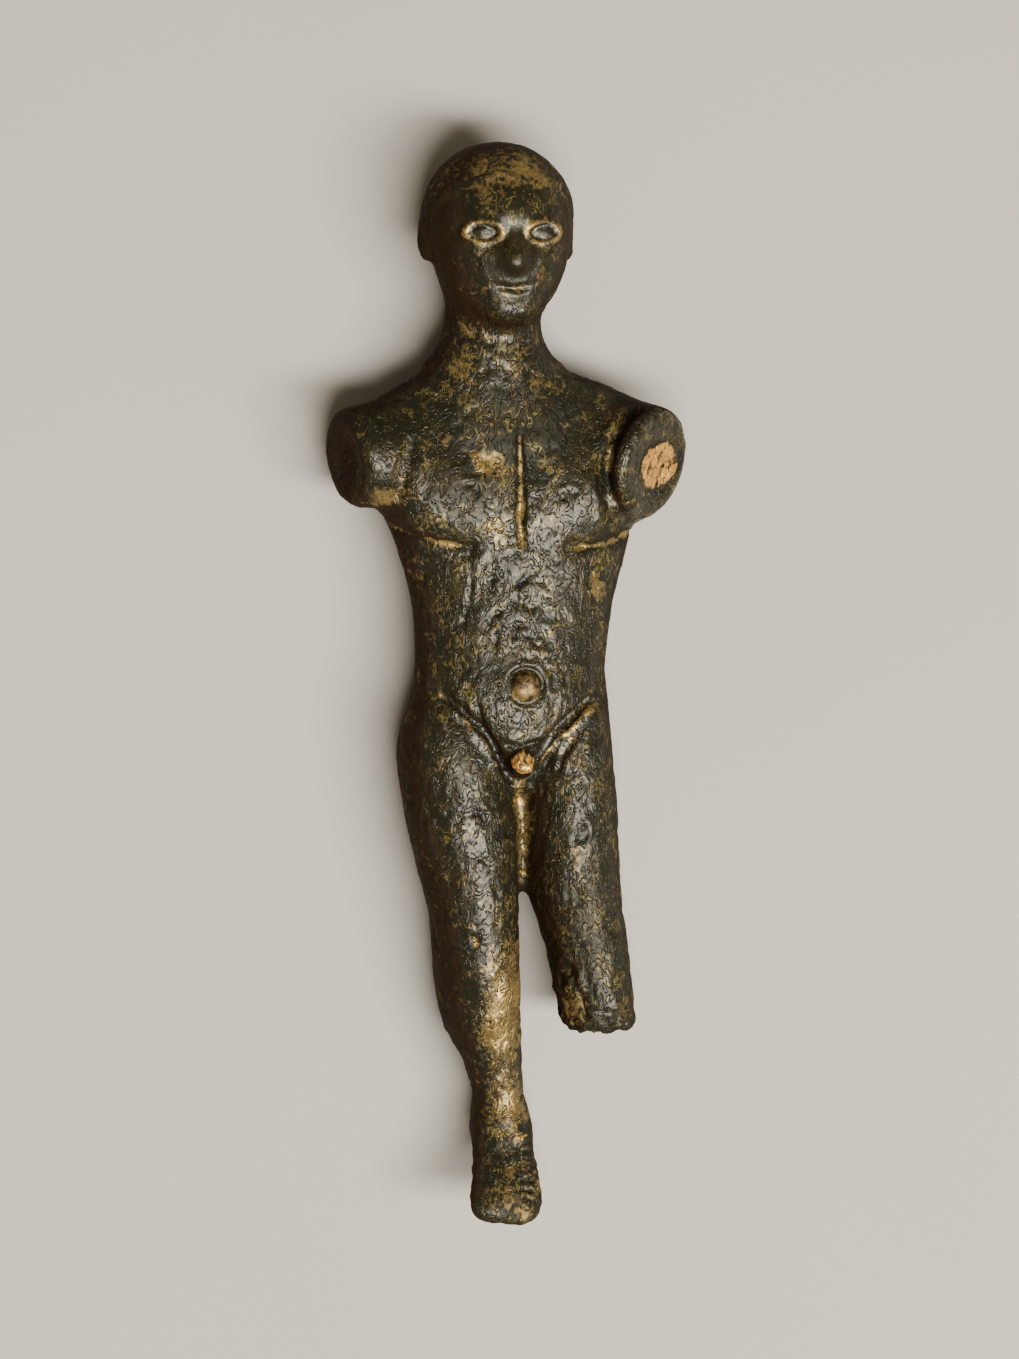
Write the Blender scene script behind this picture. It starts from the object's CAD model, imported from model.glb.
# %% [markdown]
# A small bronze worshipper, cast solid in one piece and lying on its back. The solid that comes with
# the frame has the right form but only coarse facets. This lesson takes a copy of it, gives it a fine
# skin, carves the marks of tool and corrosion into that skin, and then lays the patina over it.

# %% Load the frame
import math

import bpy
import numpy as np
from mathutils import Matrix, Vector, noise
from mathutils.bvhtree import BVHTree


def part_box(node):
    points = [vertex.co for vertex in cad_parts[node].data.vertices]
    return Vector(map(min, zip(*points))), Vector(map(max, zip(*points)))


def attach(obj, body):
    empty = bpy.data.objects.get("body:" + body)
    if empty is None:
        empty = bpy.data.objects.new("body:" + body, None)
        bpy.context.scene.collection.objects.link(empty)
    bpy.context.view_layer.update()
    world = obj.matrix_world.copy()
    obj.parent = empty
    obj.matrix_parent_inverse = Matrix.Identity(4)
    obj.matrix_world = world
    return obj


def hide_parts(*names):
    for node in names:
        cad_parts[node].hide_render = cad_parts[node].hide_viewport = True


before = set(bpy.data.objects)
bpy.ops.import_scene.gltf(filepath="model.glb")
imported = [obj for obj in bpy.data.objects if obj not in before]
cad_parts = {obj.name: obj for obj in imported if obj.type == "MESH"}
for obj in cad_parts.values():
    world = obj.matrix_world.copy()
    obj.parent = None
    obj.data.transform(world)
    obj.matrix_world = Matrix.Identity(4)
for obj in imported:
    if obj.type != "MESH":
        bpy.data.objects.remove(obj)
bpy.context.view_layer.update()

NODE = "votive_figurine"
MM = 0.001  # metres in a millimetre
LOW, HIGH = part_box(NODE)
MIDLINE_X = -0.08  # the body's midline, in millimetres from the middle of the box
print("figure, mm:", [round(side / MM, 1) for side in HIGH - LOW])

# %% [markdown]
# Places on the figure are given in millimetres as x from the midline towards its left, up from the
# toe tip towards the crown, and z above the floor. One function turns them into the frame's metres,
# and one turns the frame's metres back.


# %% Figure places
def spot(x, up, z):
    return Vector(((x + MIDLINE_X) * MM, LOW.y + up * MM, z * MM))


def figure_mm(points):
    return points / MM - np.array([MIDLINE_X, LOW.y / MM, 0.0])


print("crown at up", round((HIGH.y - LOW.y) / MM, 1), "mm")

# %% [markdown]
# The camera looks almost straight down on the lying figure, so that the figure seems to stand in the
# picture. It is turned a little to the figure's right and raised a little towards the head. A long
# lens from 0.6 m keeps the proportions calm. Its axes are set as a matrix, because the top of the
# picture has to be the crown and not the sky.

# %% Camera
YAW, PITCH = math.radians(13), math.radians(4)
DISTANCE = 0.6
PICTURE_TALL = 0.1359  # height of the picture at the figure, in metres
SENSOR = 36.0

to_right = Vector((math.cos(YAW), 0, math.sin(YAW)))
to_camera = Vector((-math.sin(YAW) * math.cos(PITCH), math.sin(PITCH), math.cos(YAW) * math.cos(PITCH)))
to_top = to_camera.cross(to_right)
aim = spot(0, 54.45, 7.5)


def facing(place, right, top, back):
    return Matrix.Translation(place) @ Matrix((right, top, back)).transposed().to_4x4()


lens = bpy.data.cameras.new("studio_camera")
lens.sensor_fit = "VERTICAL"
lens.sensor_height = SENSOR
lens.lens = SENSOR * DISTANCE / PICTURE_TALL
camera = bpy.data.objects.new("studio_camera", lens)
camera.matrix_world = facing(aim + DISTANCE * to_camera, to_right, to_top, to_camera)
bpy.context.scene.collection.objects.link(camera)
bpy.context.scene.camera = camera
print("lens, mm:", round(lens.lens, 1))

# %% [markdown]
# The skin could be made by subdividing the facets, but their sizes differ too much. A voxel remesh
# gives even quads all over, fine enough for a chisel line, and rounds of smoothing then melt the old
# facets as wax does under a warm thumb. Each round goes one step in and one out, so nothing shrinks.

# %% Fine skin
VOXEL = 0.292 * MM
MELT_ROUNDS = 36
MELT_IN, MELT_OUT = 0.5, -0.53

cast_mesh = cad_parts[NODE].data.copy()
bronze = bpy.data.objects.new("figurine_bronze", cast_mesh)
bpy.context.scene.collection.objects.link(bronze)
remesh = bronze.modifiers.new("fine_skin", "REMESH")
remesh.mode = "VOXEL"
remesh.voxel_size = VOXEL
bpy.context.view_layer.update()
skin = bpy.data.meshes.new_from_object(bronze.evaluated_get(bpy.context.evaluated_depsgraph_get()))
bronze.modifiers.clear()
bronze.data = skin
COUNT = len(skin.vertices)
print("skin:", COUNT, "points,", sum(len(face.vertices) - 2 for face in skin.polygons), "triangles")

# %% [markdown]
# All the carving below works on plain arrays, one row for each point of the skin, because a loop over
# a hundred thousand points in Python is slow. A mean over the neighbours along the edges is all that
# smoothing needs, so that is the one tool beside reading and writing the mesh.

# %% Skin as arrays
edges = np.zeros(len(skin.edges) * 2, np.int64)
skin.edges.foreach_get("vertices", edges)
EDGES = edges.reshape(-1, 2)
NEIGHBOURS = np.bincount(EDGES.ravel(), minlength=COUNT).astype(float)


def smoothed(values, rounds, share=0.5):
    for _ in range(rounds):
        columns = values.reshape(COUNT, -1).T
        ends = ((EDGES[:, 0], EDGES[:, 1]), (EDGES[:, 1], EDGES[:, 0]))
        total = [sum(np.bincount(a, column[b], COUNT) for a, b in ends) / NEIGHBOURS for column in columns]
        values = values + share * (np.array(total).T.reshape(values.shape) - values)
    return values


def read_points():
    flat = np.zeros(COUNT * 3)
    skin.vertices.foreach_get("co", flat)
    return flat.reshape(-1, 3)


def write_points(points):
    skin.vertices.foreach_set("co", points.ravel())
    skin.update()


def read_normals():
    flat = np.zeros(COUNT * 3, np.float32)
    skin.vertex_normals.foreach_get("vector", flat)
    return flat.reshape(-1, 3).astype(float)


points = read_points()
for _ in range(MELT_ROUNDS):
    points = smoothed(smoothed(points, 1, MELT_IN), 1, MELT_OUT)
points = smoothed(points, 2)
write_points(points)
PLACE = figure_mm(points)
X, UP, Z = PLACE.T
NORMAL = read_normals()
print("box after melting, mm:", np.round(PLACE.min(0), 2), np.round(PLACE.max(0), 2))

# %% [markdown]
# The maker of the wax drew most marks with a pointed tool. They could be cut out with booleans, but a
# height for each point of the skin is gentler: each tool adds to it or takes from it, and the mesh
# stays whole. A path is a few places given as x and up. It is drawn as a smooth curve through them and
# dropped on the skin from above. A place just off the body is brought to its flank.

# %% Tools for marks
TREE = BVHTree.FromObject(bronze, bpy.context.evaluated_depsgraph_get())
STEPS = 8  # pieces of curve between two given places
FLANK_Z = 7.0  # where the flanks are widest
NOISE_SEED = 11
noise.seed_set(NOISE_SEED)  # noise vectors follow the clock without it
height = np.zeros(COUNT)  # millimetres outwards


def dropped(x, up):
    place, _, _, _ = TREE.ray_cast(spot(x, up, 30), Vector((0, 0, -1)))
    if place is None:
        place, _, _, _ = TREE.find_nearest(spot(x, up, FLANK_Z))
    return figure_mm(np.array(place))


def path_on_front(places):
    ends = np.array([places[0], *places, places[-1]], float)
    curve = []
    for before, start, end, after in zip(ends, ends[1:], ends[2:], ends[3:]):
        for t in np.linspace(0, 1, STEPS, endpoint=False):
            bend = (end - before) * t * (1 - t) ** 2 / 2 - (after - start) * t**2 * (1 - t) / 2
            curve.append(start + (end - start) * t * t * (3 - 2 * t) + bend)
    curve.append(ends[-1])
    return np.array([dropped(*place) for place in curve])


def nearest_on(path):
    gap = np.full(COUNT, np.inf)
    share = np.zeros(COUNT)
    for n, (start, end) in enumerate(zip(path, path[1:])):
        along = end - start
        t = np.clip((PLACE - start) @ along / max(along @ along, 1e-9), 0, 1)
        reach = np.linalg.norm(PLACE - start - t[:, None] * along, axis=1)
        closer = reach < gap
        gap[closer] = reach[closer]
        share[closer] = (n + t[closer]) / (len(path) - 1)
    return gap, share


def swell(gap, radius):
    return np.clip(1 - (gap / radius) ** 2, 0, 1) ** 2


def ease(low, high, values):
    t = np.clip((values - low) / (high - low), 0, 1)
    return t * t * (3 - 2 * t)


def wander(size, seed, along=1.0, curl=0.0):
    scale = Vector((1 / size, 1 / (size * along), 1 / size))
    shift = Vector((17.3 * seed, -9.1 * seed, 5.7 * seed))  # to another part of the noise
    spots = [Vector(place) * scale + shift for place in PLACE]
    if curl:
        spots = [p + curl * noise.noise_vector(0.8 * p) for p in spots]
    return np.array([noise.noise(p) for p in spots])


print("skin is", round(dropped(0, 60)[2], 1), "mm above the floor at the belly")

# %% [markdown]
# The long strokes come first: the breastbone, the folds under the breasts, the two groins and the
# valley beside the right arm. On the casting each is a gouged line with the metal thrown up a little
# on both sides, so a narrow dip is cut and a wider, lower swelling is added beside it. A negative
# depth raises a ridge instead, as on the tops of the thighs and the rim of the left stump.

# %% Gouged lines
STERNUM = [(-0.1, 79.7), (-0.15, 75.6), (-0.2, 71.2), (-0.1, 67.9)]
STERNUM_FOOT = [(-0.25, 72.2), (-0.3, 70.6), (-0.15, 69.0)]
BREASTS = [
    [(-12.8, 70.1), (-11.2, 69.4), (-8.9, 68.6), (-4.2, 67.9)],
    [(12.6, 69.3), (11.2, 68.8), (9.0, 68.0), (3.9, 67.9)],
]
GROINS = [
    [(-4.7, 53.2), (-4.1, 50.6), (-2.8, 48.2), (-2.0, 46.6), (-1.1, 45.2), (0.2, 44.3)],
    [(7.4, 53.2), (5.9, 51.8), (4.4, 50.5), (3.1, 49.3), (1.8, 47.6), (0.9, 45.8)],
]
THIGH_EDGES = [
    [(-8.1, 52.6), (-5.9, 50.9), (-4.5, 49.3), (-3.4, 48.0), (-2.8, 46.6), (-2.2, 45.2)],
    [(8.0, 52.4), (6.7, 51.2), (5.1, 49.6), (3.7, 48.6), (2.6, 47.2), (1.9, 45.4)],
]
HIP_CUT = [(-8.2, 53.6), (-6.4, 52.3), (-5.0, 50.9), (-4.1, 49.6)]
LEFT_FORK = [(5.6, 49.4), (4.9, 48.3), (4.2, 46.9), (3.7, 45.4)]
ARM_VALLEY = [(-10.8, 79.4), (-11.3, 77.4), (-11.8, 75.7), (-12.0, 74.1), (-12.3, 72.3)]
MOUTH = [(-3.4, 93.8), (-1.5, 93.55), (0.4, 93.8)]
BELLY_LEDGE = [(-1.9, 48.5), (-0.1, 48.1), (2.4, 48.8)]
DISC_RIM = [
    (13.4, 81.2), (12.1, 80.1), (10.9, 78.5), (10.1, 76.7),
    (9.9, 75.1), (10.3, 73.7), (11.5, 72.2), (13.3, 71.2),
]
DISC_GAP = [(12.4, 82.0), (10.9, 80.8), (9.7, 79.0), (8.9, 76.8), (8.7, 75.0), (9.1, 73.1), (10.5, 71.3)]
HAIR = [[(-5.0, 106.1), (-2.2, 106.9), (1.9, 106.1)], [(-5.5, 104.6), (-2.2, 105.3), (1.9, 104.3)]]
CUTS = [  # places, half width, depth and lip in millimetres, share of gold
    (STERNUM, 0.44, 0.30, 0.13, 1.0),
    (STERNUM_FOOT, 0.66, 0.10, 0.05, 1.0),
    (BREASTS[0], 0.42, 0.24, 0.03, 0.7),
    (BREASTS[1], 0.48, 0.24, 0.03, 0.9),
    (GROINS[0], 0.60, 0.58, 0.05, 0),
    (GROINS[1], 0.60, 0.42, 0.05, 0.1),
    (THIGH_EDGES[0], 0.75, -0.55, 0, 0.4),
    (THIGH_EDGES[1], 0.60, -0.40, 0, 0.7),
    (HIP_CUT, 0.50, 0.22, 0.05, 0.3),
    (LEFT_FORK, 0.45, 0.26, 0.08, 0.3),
    (ARM_VALLEY, 1.0, 0.30, 0.10, 0.3),
    (MOUTH, 0.40, 0.20, 0.05, 0.2),
    (HAIR[0], 0.45, 0.16, 0.06, 0.7),
    (HAIR[1], 0.45, 0.16, 0.06, 0.7),
    (BELLY_LEDGE, 0.50, 0.25, 0.14, 0.1),
    (DISC_RIM, 1.30, -0.50, 0, 0.2),
    (DISC_GAP, 0.60, 0.50, 0, 0),
]

TAPER = 0.14  # share of a stroke over which each end runs out
END_WIDE = 0.4  # width of a stroke's tip beside its middle
LIP_OUT = 1.5  # the lip's crest, in half widths from the middle
GOLD_OUT = 0.85  # how far the rubbed gold reaches, in half widths

wobble = 0.35 * wander(1.3, 12)  # millimetres that a line drawn by hand strays
crease = np.zeros(COUNT)
for places, radius, depth, lip, gilt in CUTS:
    gap, share = nearest_on(path_on_front(places))
    ends = ease(0, TAPER, share) * ease(0, TAPER, 1 - share)
    gap = np.maximum(gap + wobble, 0) / (END_WIDE + (1 - END_WIDE) * ends)
    height += (lip * swell(np.abs(gap - LIP_OUT * radius), radius) - depth * swell(gap, radius)) * ends
    np.maximum(crease, gilt * swell(gap, GOLD_OUT * radius) * ends**0.5, out=crease)
print("strokes:", len(CUTS), "deepest", round(-height.min(), 2), "mm")

# %% [markdown]
# The navel is a small ball of wax set in a punched ring, with a prick in the middle and a burr
# outside. The boss below it is a low dome in a ring of its own. The eyes are almond pellets inside a
# raised rim, set by the usual shares of a head: half way up it and one eye apart. The bare core of
# the left arm is ringed by a faint step. Each could be a mesh of its own, but the casting is one
# piece, so they rise from the same skin.

# %% Navel, eyes and the core of the arm
NAVEL = (0.25, 54.2)
NAVEL_RADIUS = 1.6
BALL_HIGH, BURR_HIGH, RING_DEEP, PRICK_DEEP = 0.66, 0.20, 0.20, 0.15
BOSS, BOSS_RADIUS = (0.0, 46.6), 1.25
DOME_HIGH, DOME_RING_DEEP = 0.15, 0.18
HEAD_X, HEAD_TALL = -1.5, 18.0
EYE_UP = (HIGH.y - LOW.y) / MM - HEAD_TALL / 2
EYE_OUT, EYE_HALF, EYE_TALL = 2.95, 1.75, 1.05
RIM_HIGH, PELLET_HIGH, PUPIL_DEEP = 0.34, 0.34, 0.16
CORE, CORE_WIDE, CORE_TALL = np.array([14.8, 75.8, 9.9]), 3.0, 2.5
CORE_HIGH, SCRATCH_HIGH, CORE_STEP = 0.10, 0.12, 0.16
ARM_AXIS = np.array([0.643, -0.253, 0.721])
ARM_TOP = np.array([0.168, 0.968, 0.189])


def ring_gap(x, up, across, tall):
    return np.hypot((X - x) / across, (UP - up) / tall)


front = ease(0.1, 0.4, NORMAL[:, 2])
navel_out = ring_gap(*NAVEL, NAVEL_RADIUS, NAVEL_RADIUS)
navel = (1 - ease(0.92, 1.02, navel_out)) * front
height += BALL_HIGH * np.sqrt(np.clip(1 - navel_out**2, 0, 1)) * front
height += BURR_HIGH * swell(navel_out - 1.36, 0.30) * front
height -= (RING_DEEP * swell(navel_out - 1.06, 0.13) + PRICK_DEEP * swell(navel_out, 0.15)) * front

boss_out = ring_gap(*BOSS, BOSS_RADIUS, BOSS_RADIUS)
boss = (1 - ease(0.80, 1.0, boss_out)) * front
height += DOME_HIGH * np.sqrt(np.clip(1 - boss_out**2, 0, 1)) * front
height -= DOME_RING_DEEP * swell(boss_out - 1.15, 0.22) * front

rims = np.zeros(COUNT)
for side in (-1, 1):
    out = ring_gap(HEAD_X + side * EYE_OUT, EYE_UP, EYE_HALF, EYE_TALL)
    height += (RIM_HIGH * swell(out - 1.0, 0.28) - PUPIL_DEEP * swell(out, 0.22)) * front
    height += PELLET_HIGH * np.clip(1 - (out / 0.74) ** 2, 0, 1) * front
    np.maximum(rims, swell(out - 1.0, 0.4) * front, out=rims)

from_core = PLACE - CORE
core_gap = np.hypot(from_core @ np.cross(ARM_AXIS, ARM_TOP) / CORE_WIDE, from_core @ ARM_TOP / CORE_TALL)
on_stump = ease(0.5, 0.75, NORMAL @ ARM_AXIS) * (np.linalg.norm(from_core, axis=1) < 7)
core_gap = core_gap + 0.12 * wander(1.5, 15)  # an uneven edge
core = (1 - ease(0.88, 1.02, core_gap)) * on_stump
scratches = wander(0.7, 13, 2.5)
height += (CORE_HIGH + SCRATCH_HIGH * scratches) * core
height -= CORE_STEP * swell(core_gap - 1.08, 0.16) * on_stump
print("navel", 2 * NAVEL_RADIUS, "mm, eyes", 2 * EYE_HALF, "mm, core", 2 * CORE_TALL, "mm")

# %% [markdown]
# A few marks on the belly and legs stand out from the rest: curls and short cracks that corrosion has
# eaten round bubbles in the cast, dents in the broken leg, and the short ridges of a rasp on the inner
# side of the foot. A curl is an arc, given by its middle, its radius and where it starts and stops.
# The real lines are about 0.2 mm wide. Here they are wider, because the skin's squares are 0.3 mm.

# %% Curls, dents and rasp marks
CURLS = [  # x, up, radius, from and to in degrees
    (-0.1, 59.6, 0.80, -40, 220),
    (1.75, 58.7, 0.55, 0, 330),
    (-2.6, 64.3, 0.70, 20, 230),
    (1.0, 65.6, 0.42, -60, 250),
    (-2.6, 60.8, 0.60, 60, 250),
    (0.9, 62.4, 0.50, 100, 300),
    (-4.6, 41.0, 0.80, -30, 160),
    (-4.2, 36.2, 0.90, 20, 240),
    (5.9, 39.5, 0.70, -120, 60),
    (6.4, 33.0, 0.80, 40, 230),
    (4.6, 73.0, 0.60, 10, 200),
    (-5.4, 73.6, 0.70, -60, 120),
]
CRACKS = [
    [(-4.9, 68.3), (-5.2, 67.0)],
    [(-5.2, 65.3), (-5.0, 64.2), (-5.2, 63.0)],
    [(-5.5, 61.6), (-5.7, 60.4)],
    [(-0.7, 64.2), (-0.6, 62.2)],
    [(-0.4, 64.2), (0.7, 65.3)],
    [(-2.6, 59.6), (-2.8, 57.2)],
    [(-2.4, 39.2), (-1.0, 39.5)],
]
LINE_HALF, LINE_DEEP = 0.34, 0.26
DENTS = [  # x, up, half width, half height, depth
    (5.0, 25.4, 1.1, 0.8, 0.45),
    (6.1, 22.9, 0.9, 0.7, 0.35),
    (5.4, 20.6, 0.8, 0.6, 0.30),
    (7.2, 20.2, 0.6, 0.6, 0.25),
    (-5.2, 53.9, 1.0, 0.9, 0.15),
    (-3.3, 76.2, 1.8, 1.3, 0.10),
    (-4.5, 28.8, 0.7, 1.1, 0.20),
]
RASP = [(1.0, 8.2), (1.6, 6.6), (1.5, 4.6), (1.2, 2.4)]
RASP_STEP, RASP_WIDE, RASP_RUN, RASP_HIGH = 0.78, 1.9, 6.3, 0.17

eaten = list(CRACKS)
for x, up, radius, start, stop in CURLS:
    turns = np.radians(np.linspace(start, stop, 7))
    eaten.append([(x + radius * np.cos(a), up + radius * np.sin(a)) for a in turns])
gap = np.min([nearest_on(path_on_front(places))[0] for places in eaten], axis=0)
eaten_lines = swell(np.maximum(gap + 0.7 * wobble, 0), LINE_HALF)
height -= LINE_DEEP * eaten_lines
for x, up, across, tall, depth in DENTS:
    height -= depth * swell(ring_gap(x, up, across, tall), 1) * front
gap, share = nearest_on(path_on_front(RASP))
ridges = share * RASP_RUN / RASP_STEP + 0.5 * wander(1.8, 14)
height += RASP_HIGH * swell(gap, RASP_WIDE) * np.sin(2 * np.pi * ridges)
print("curls and cracks:", len(eaten), "dents:", len(DENTS), "rasp ridges:", round(RASP_RUN / RASP_STEP))

# %% [markdown]
# Cast bronze that lay in the ground is never smooth. Four kinds of unevenness are laid over each
# other: slow waves of the wax, short ripples, worm-like channels of corrosion, and small round pits.
# The channels are the level lines of a random field that is bent by another one, so that they curl
# and break off as the real ones do. All this could be left to the bump of a material, but then the
# outline would stay smooth. The legs are more rippled than the rest, and the broken end is roughest.

# %% Corroded surface
WAVE_HIGH, RIPPLE_HIGH, LEG_RIPPLE_HIGH, WORM_DEEP, PIT_DEEP = 0.07, 0.07, 0.05, 0.11, 0.16
BREAK_STRENGTH = 3.0

waves = wander(4.5, 1)
worms = np.exp(-((wander(1.5, 2, 1.5, 0.9) / 0.12) ** 2)) * ease(-0.25, 0.25, wander(4.0, 3))
ripples = wander(1.0, 4, 1.6, 0.8)
pit_gap = np.array([noise.voronoi(Vector(place) / 1.6)[0][0] for place in PLACE])
pits = swell(pit_gap, 0.26) * ease(-0.1, 0.3, wander(6.0, 6))
broken = (1 - ease(20.5, 27.0, UP + 0.7 * (X - 6))) * ease(3.5, 4.5, X) * (UP < 30)
face = ease(91, 93, UP) * ease(0.0, 0.5, NORMAL[:, 2])
strength = (1 - 0.6 * face) * (1 + BREAK_STRENGTH * broken) * (1 - 0.8 * core) * (1 - 0.9 * navel)
legs = 1 - ease(44.0, 50.0, UP)
swells = WAVE_HIGH * waves + (RIPPLE_HIGH + LEG_RIPPLE_HIGH * legs) * ripples
height += (swells - WORM_DEEP * worms - PIT_DEEP * pits) * strength
print("share of worms:", round(float((worms > 0.5).mean()), 3))
print("share of pits:", round(float((pits > 0.3).mean()), 3))

# %% [markdown]
# All the marks now move the skin along its own normals. A slope that is steeper than a tool can leave
# is eased first, so that the skin doesn't fold over itself. The flat spots on the back stay flat,
# because the figure lies on them. Where a mark has left the skin lower than its surroundings, dirt
# gathers, so the hollows are measured for the patina as well.

# %% Press the marks in
STEEPEST = 1.1  # rise over run between two neighbours
starts, stops = EDGES.T
run = np.linalg.norm(PLACE[starts] - PLACE[stops], axis=1)
steep = np.zeros(COUNT)
steep[EDGES[np.abs(height[starts] - height[stops]) > STEEPEST * run].ravel()] = 1
print("eased points:", int(steep.sum()))
height += np.clip(2 * smoothed(steep, 2), 0, 1) * (smoothed(height, 3) - height)
grounded = 1 - ease(0.05, 0.4, Z)
points = points + NORMAL * (height * (1 - grounded) * MM)[:, None]
points[:, 2] = np.maximum(points[:, 2], 0)
write_points(points)
NORMAL = read_normals()
hollow = ((smoothed(points, 10) - points) * NORMAL).sum(1) / MM
print("hollows up to", round(float(hollow.max()), 2), "mm")

# %% [markdown]
# The patina is told in seven shares: bare metal on the breaks, gold where a crease is rubbed, umber on
# the flanks, olive where the specks are thick, soot in the deep cuts, matt where no cloth has polished
# it, and rubbed where hands have worn the grain away. They could be painted on a picture that wraps the
# figure. Here each is a number for each point of the mesh, so it stays in place from every side.

# %% Patina shares
GOLD_PATCHES = [  # x, up, half width, half height, share
    (-3.4, 76.3, 2.2, 1.6, 1.0),
    (-2.9, 70.0, 1.6, 1.2, 0.7),
    (-8.6, 70.7, 1.0, 0.9, 0.5),
    (-1.1, 21.5, 3.2, 9.5, 0.85),
    (-0.6, 12.0, 2.6, 6.5, 0.75),
    (-0.5, 5.0, 3.2, 4.5, 0.33),
    (-5.2, 53.9, 0.9, 0.9, 0.5),
    (-13.7, 73.0, 1.8, 1.3, 0.8),
    (-5.4, 86.5, 1.6, 4.0, 0.45),
    (2.2, 85.0, 2.0, 1.6, 0.35),
    (0.0, 87.0, 1.4, 3.0, 0.4),
    (5.6, 22.0, 2.0, 3.2, 0.55),
    (7.9, 64.5, 1.0, 4.0, 0.5),
    (0.2, 1.2, 1.6, 1.0, 0.6),
    (-1.5, 104.5, 6.0, 3.0, 0.52),
]
BARE_PATCHES = [
    (0.7, 8.6, 1.2, 0.7, 0.6),
    (0.4, 42.8, 1.1, 1.8, 0.55),
    (0.7, 35.5, 0.9, 1.5, 0.45),
    (-4.5, 28.8, 0.5, 0.9, 0.7),
]
OLIVE_PATCHES = [(-0.5, 88.0, 7.0, 4.5, 1.0), (-1.5, 103.0, 7.5, 5.0, 1.0), (-0.3, 6.0, 3.5, 6.0, 0.9)]
DULL_PATCHES = [
    (0.0, 79.5, 7.0, 3.9, 0.6),
    (0.0, 1.5, 3.0, 2.0, 0.6),
    (6.8, 29.0, 3.0, 11.0, 0.35),
    (-5.5, 73.0, 3.5, 3.0, 0.25),
]
CHEST_STRIP = [(9.3, 79.4), (9.1, 77.4), (9.0, 75.6)]
WEB = [(0.5, 44.0), (0.6, 40.0), (0.6, 35.2)]


def patches(rows):
    shares = [share * swell(ring_gap(x, up, wide, tall), 1.3) for x, up, wide, tall, share in rows]
    return np.max(shares, axis=0) * front


strips = [0.5 * swell(nearest_on(path_on_front(CHEST_STRIP))[0], 0.9)]
strips.append(0.55 * swell(nearest_on(path_on_front(WEB))[0] + wobble, 1.9))
gold = np.maximum.reduce([crease, 0.7 * rims, 0.42 * navel, patches(GOLD_PATCHES), *strips])
gold = gold + 0.29 * ease(0.05, 0.45, wander(2.5, 8))
bare = np.maximum.reduce([core * (0.9 + scratches), 0.65 * boss, patches(BARE_PATCHES), 0.3 * rims])
matt = ease(0.55, 0.95, np.sqrt(np.clip(1 - NORMAL[:, 2] ** 2, 0, 1))) * (1 - 0.8 * on_stump)
dulled = np.maximum.reduce([matt, patches(DULL_PATCHES), 0.3 * navel])
rubbed = np.maximum(0.5 * face, 0.75 * navel)
umber = matt * np.where(NORMAL[:, 0] < 0, 1.0, 0.45) * (0.85 + 0.6 * wander(2.5, 9))
umber = np.maximum(umber, 0.9 * navel)
specked = ease(-0.25, 0.35, wander(5.0, 11) + 0.35 * ease(0.3, 0.8, np.abs(NORMAL[:, 0])))
olive = np.maximum(specked * (1 - 0.8 * face), patches(OLIVE_PATCHES))
soot = np.maximum(ease(0.08, 0.25, hollow), 0.9 * eaten_lines) * (1 - bare) * (1 - crease)
shares = {
    "bare": bare, "gold": gold, "umber": umber, "olive": olive,
    "soot": soot, "matt": dulled, "rubbed": rubbed,
}
for name, share in shares.items():
    share = np.clip(share, 0, 1)
    layer = skin.attributes.new(name, "FLOAT", "POINT")
    layer.data.foreach_set("value", share.astype(np.float32))
    print("mean share of", name, round(float(share.mean()), 3))

# %% [markdown]
# Two small tools serve every material: one turns an sRGB hex colour into the linear light that the
# shader works in, and one adds a node with its settings and links in a single call.


# %% Tools for materials
def linear(hex_colour):
    parts = [int(hex_colour[n : n + 2], 16) / 255 for n in (1, 3, 5)]
    return [c / 12.92 if c <= 0.04045 else ((c + 0.055) / 1.055) ** 2.4 for c in parts] + [1]


def add_node(tree, kind, inputs=None, **settings):
    node = tree.nodes.new(kind)
    for name, value in settings.items():
        setattr(node, name, value)
    for name, value in (inputs or {}).items():
        if isinstance(value, bpy.types.NodeSocket):
            tree.links.new(value, node.inputs[name])
        else:
            node.inputs[name].default_value = value
    return node


def new_material(name):
    material = bpy.data.materials.new(name)
    material.use_nodes = True
    return material, material.node_tree, material.node_tree.nodes["Principled BSDF"]


print("middle grey in linear light:", round(linear("#808080")[0], 3))

# %% [markdown]
# Patinated bronze is copper and tin under a thin dark skin of oxides, grown in the ground, then cleaned
# and waxed. The skin hides most of the metal's colour, the wax gives the eye a soft warm gloss, and the
# metal itself shows golden where it is rubbed. Several shaders could be mixed, one for each layer, but
# one shader with mixed colours exports whole. Its pattern comes first: a noise that is bent by itself
# draws the curly grain, and two of its level lines, like those of a map, give grooves and pale strokes.
# The real curls are about 0.2 mm wide and the grit is finer still. Both are drawn coarser to show.

# %% Grain of the patina
MOTTLE_MM, GRAIN_MM, CURL_MM, GRIT_MM = 2.6, 0.8, 0.85, 0.3
CURL_ALONG = (1, 0.6, 1)  # curls are longer along the body than across it
GROOVE_LEVEL, STROKE_LEVEL, LINE_LEVELS = 0.46, 0.57, 0.06

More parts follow.
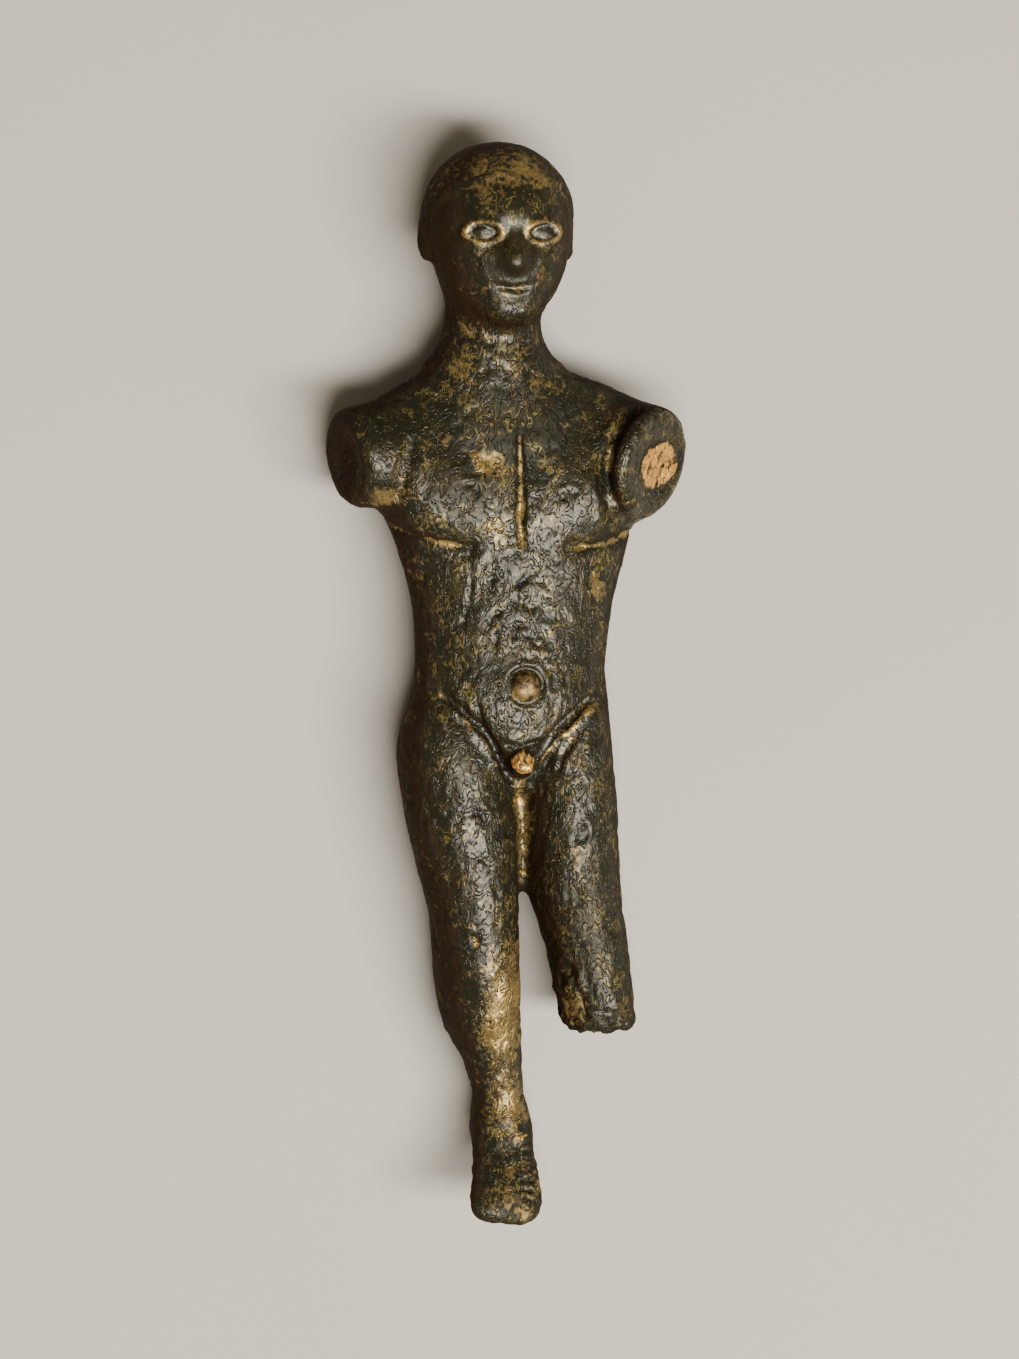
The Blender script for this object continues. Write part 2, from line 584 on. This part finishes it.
patina, tree, shader = new_material("waxed_patinated_bronze")
place = add_node(tree, "ShaderNodeTexCoord").outputs["Object"]
drawn_out = add_node(tree, "ShaderNodeVectorMath", {0: place, 1: CURL_ALONG}, operation="MULTIPLY")
pattern = {}
for name, vector, size, detail, bend in (
    ("mottle", place, MOTTLE_MM, 5, 0.4),
    ("grain", place, GRAIN_MM, 2, 1.2),
    ("curl", drawn_out.outputs[0], CURL_MM, 1, 1.2),
    ("grit", place, GRIT_MM, 2, 0.3),
):
    inputs = {"Vector": vector, "Scale": 1 / (size * MM), "Detail": detail, "Distortion": bend}
    pattern[name] = add_node(tree, "ShaderNodeTexNoise", inputs).outputs["Fac"]
for name, middle in (("groove", GROOVE_LEVEL), ("stroke", STROKE_LEVEL)):
    off = add_node(tree, "ShaderNodeMath", {0: pattern["curl"], 1: middle}, operation="SUBTRACT")
    away = add_node(tree, "ShaderNodeMath", {0: off.outputs[0]}, operation="ABSOLUTE")
    inputs = {"Value": away.outputs[0], "From Max": LINE_LEVELS, "To Min": 1, "To Max": 0}
    pattern[name] = add_node(tree, "ShaderNodeMapRange", inputs).outputs["Result"]
print("patterns:", list(pattern))

# %% [markdown]
# The colours are laid over each other as the layers grew: a dark skin with brown stains, olive strokes,
# umber on the flanks, soot in the cuts, then gold and bare metal where they are worn off again. The
# grain breaks up the edge of each share, so no layer ends in a smooth line. Last come the dark grooves.

# %% Colours of the patina
DARK, BROWN, SOOT = "#1a1a0d", "#342d14", "#0d0c07"
LAYERS = [  # share, colour, how much the share counts beside the grain, where it starts, how gently
    ("olive", "#5e552e", 0.40, 0.72, 0.28),
    ("umber", "#30200d", 0.45, 0.55, 0.25),
    ("soot", SOOT, 0.45, 0.66, 0.25),
    ("gold", "#8e7849", 0.60, 0.70, 0.36),
    ("bare", "#e4ae5c", 0.60, 0.76, 0.25),
]
STAINED = (0.20, 0.42)  # from dark to brown
DASHED = (0.42, 0.53)  # levels of the mottle that break a stroke into dashes
GROOVED = (0.40, 0.50)  # levels of the grain between which grooves begin
GROOVE_SHARE = 0.85

share_of = {}
for name in shares:
    share_of[name] = add_node(tree, "ShaderNodeAttribute", attribute_name=name).outputs["Fac"]
stain = add_node(tree, "ShaderNodeMath", {0: pattern["mottle"], 1: pattern["grain"]}, operation="MULTIPLY")
inputs = {"Value": stain.outputs[0], "From Min": STAINED[0], "From Max": STAINED[1]}
spread = add_node(tree, "ShaderNodeMapRange", inputs).outputs["Result"]
inputs = {"Factor": spread, 6: linear(DARK), 7: linear(BROWN)}
colour = add_node(tree, "ShaderNodeMix", inputs, data_type="RGBA").outputs[2]

inputs = {"Value": pattern["mottle"], "From Min": DASHED[0], "From Max": DASHED[1]}
gaps = add_node(tree, "ShaderNodeMapRange", inputs).outputs["Result"]
dashes = add_node(tree, "ShaderNodeMath", {0: pattern["stroke"], 1: gaps}, operation="MULTIPLY").outputs[0]
shown = {}
for name, tint, weight, start, fade in LAYERS:
    inputs = {0: share_of[name], 1: weight, 2: dashes if name == "olive" else pattern["grain"]}
    level = add_node(tree, "ShaderNodeMath", inputs, operation="MULTIPLY_ADD")
    inputs = {"Value": level.outputs[0], "From Min": start, "From Max": start + fade}
    shown[name] = add_node(tree, "ShaderNodeMapRange", inputs).outputs["Result"]
    inputs = {"Factor": shown[name], 6: colour, 7: linear(tint)}
    colour = add_node(tree, "ShaderNodeMix", inputs, data_type="RGBA").outputs[2]

kept = add_node(tree, "ShaderNodeMath", {0: 1.0, 1: share_of["rubbed"]}, operation="SUBTRACT").outputs[0]
inputs = {"Value": pattern["grain"], "From Min": GROOVED[0], "From Max": GROOVED[1], "To Max": GROOVE_SHARE}
worn = add_node(tree, "ShaderNodeMapRange", inputs).outputs["Result"]
left = add_node(tree, "ShaderNodeMath", {0: worn, 1: kept}, operation="MULTIPLY").outputs[0]
cut = add_node(tree, "ShaderNodeMath", {0: pattern["groove"], 1: left}, operation="MULTIPLY").outputs[0]
inputs = {"Factor": cut, 6: colour, 7: linear(SOOT)}
colour = add_node(tree, "ShaderNodeMix", inputs, data_type="RGBA").outputs[2]
tree.links.new(colour, shader.inputs["Base Color"])
print("layers:", list(shown))

# %% [markdown]
# Oxide is hardly metallic and bare bronze is, so the metallic share follows the gold. The matt flanks
# count as metal too, because a thin matt skin tints what it reflects brown. Wax makes the front smooth,
# with a little grit in it. The curls and grooves are pressed in as a fine bump, over the coarser marks
# that the mesh itself holds. A bronze keeps the default IOR.

# %% Gloss and relief of the patina
METAL_LEAST, METAL_MOST = 0.3, 0.8
ROUGH_LEAST, ROUGH_MOST, MATT_ROUGH = 0.30, 0.44, 0.5
GRIT_LEVELS = (0.3, 0.7)
GROOVE_PRESS = -0.6  # a groove beside the height of the curls
RELIEF_MM, GRIT_HIGH_MM, GRIT_STRENGTH = 0.10, 0.03, 0.25

metal = share_of["matt"]
for name in ("gold", "bare"):
    metal = add_node(tree, "ShaderNodeMath", {0: metal, 1: shown[name]}, operation="MAXIMUM").outputs[0]
metallic = add_node(tree, "ShaderNodeMapRange", {"Value": metal, "To Min": METAL_LEAST, "To Max": METAL_MOST})
tree.links.new(metallic.outputs["Result"], shader.inputs["Metallic"])
inputs = {"Value": pattern["grit"], "From Min": GRIT_LEVELS[0], "From Max": GRIT_LEVELS[1]}
inputs |= {"To Min": ROUGH_LEAST, "To Max": ROUGH_MOST}
waxed = add_node(tree, "ShaderNodeMapRange", inputs).outputs["Result"]
inputs = {0: share_of["matt"], 1: MATT_ROUGH, 2: waxed}
rough = add_node(tree, "ShaderNodeMath", inputs, operation="MULTIPLY_ADD")
tree.links.new(rough.outputs[0], shader.inputs["Roughness"])

inputs = {0: cut, 1: GROOVE_PRESS, 2: pattern["curl"]}
pressed = add_node(tree, "ShaderNodeMath", inputs, operation="MULTIPLY_ADD").outputs[0]
standing = add_node(tree, "ShaderNodeMath", {0: pressed, 1: kept}, operation="MULTIPLY").outputs[0]
inputs = {"Height": standing, "Strength": 1.0, "Distance": RELIEF_MM * MM}
relief = add_node(tree, "ShaderNodeBump", inputs).outputs["Normal"]
inputs = {"Height": pattern["grit"], "Strength": GRIT_STRENGTH, "Distance": GRIT_HIGH_MM * MM}
inputs |= {"Normal": relief}
fine = add_node(tree, "ShaderNodeBump", inputs).outputs["Normal"]
tree.links.new(fine, shader.inputs["Normal"])

skin.materials.clear()
skin.materials.append(patina)
skin.shade_smooth()
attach(bronze, "root")
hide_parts(NODE)
print("bronze finish on", bronze.name)

# %% [markdown]
# The figure lies on a plain pale table top, wide enough to fill the picture from every side. It is matt
# paint, rolled on, so it gives soft light back to the flanks. A single square of mesh is enough for it,
# with a faint cloud of tone so that it isn't one flat colour.

# %% Table top
FLOOR_HALF = 3.0
PALE, PALER = "#a9a6a1", "#afaca7"
CLOUD_MM = 60
PAINT_ROUGH = 0.8


def pale_paint():
    material, tree, shader = new_material("matt_pale_paint")
    place = add_node(tree, "ShaderNodeTexCoord").outputs["Object"]
    cloud = add_node(tree, "ShaderNodeTexNoise", {"Vector": place, "Scale": 1 / (CLOUD_MM * MM), "Detail": 2})
    inputs = {"Factor": cloud.outputs["Fac"], 6: linear(PALE), 7: linear(PALER)}
    tone = add_node(tree, "ShaderNodeMix", inputs, data_type="RGBA")
    tree.links.new(tone.outputs[2], shader.inputs["Base Color"])
    shader.inputs["Roughness"].default_value = PAINT_ROUGH
    return material


floor_mesh = bpy.data.meshes.new("table_top")
corners = [(FLOOR_HALF * a, FLOOR_HALF * b, 0) for a, b in ((-1, -1), (1, -1), (1, 1), (-1, 1))]
floor_mesh.from_pydata(corners, [], [(0, 1, 2, 3)])
floor_mesh.materials.append(pale_paint())
floor = bpy.data.objects.new("table_top", floor_mesh)
bpy.context.scene.collection.objects.link(floor)
print("table top", 2 * FLOOR_HALF, "m square")

# %% [markdown]
# Dark waxed metal shows mostly what it reflects, so the light is one large soft box and the room is dim.
# Both are a little warm. The box stands to the right of the camera and a little below it, and draws the
# long grey sheen down breast, belly and thighs. It is wide and low, so that the top of the chest stays
# dark. Small hard lamps could be used instead, but they would only give sparks on the grain.

# %% Studio light
KEY_RIGHT, KEY_TOP, KEY_NEAR = 0.40, -0.31, 0.86  # its direction, on the camera's axes
KEY_DISTANCE, KEY_WIDE, KEY_TALL = 0.55, 0.56, 0.14
KEY_POWER, KEY_TINT = 9.0, "#fff8ea"
ROOM_TINT, ROOM_STRENGTH = "#c5b89d", 0.45

lamp = bpy.data.lights.new("key_box", "AREA")
lamp.shape = "RECTANGLE"
lamp.size, lamp.size_y = KEY_WIDE, KEY_TALL
lamp.energy = KEY_POWER
lamp.color = linear(KEY_TINT)[:3]
way = (KEY_RIGHT * to_right + KEY_TOP * to_top + KEY_NEAR * to_camera).normalized()
side = to_top.cross(way).normalized()
key_box = bpy.data.objects.new("key_box", lamp)
key_box.matrix_world = facing(aim + KEY_DISTANCE * way, side, way.cross(side), way)
bpy.context.scene.collection.objects.link(key_box)

world = bpy.data.worlds.new("studio")
world.use_nodes = True
room = world.node_tree.nodes["Background"]
room.inputs["Color"].default_value = linear(ROOM_TINT)
room.inputs["Strength"].default_value = ROOM_STRENGTH
bpy.context.scene.world = world
print("key box", KEY_WIDE, "by", KEY_TALL, "m,", KEY_POWER, "W")
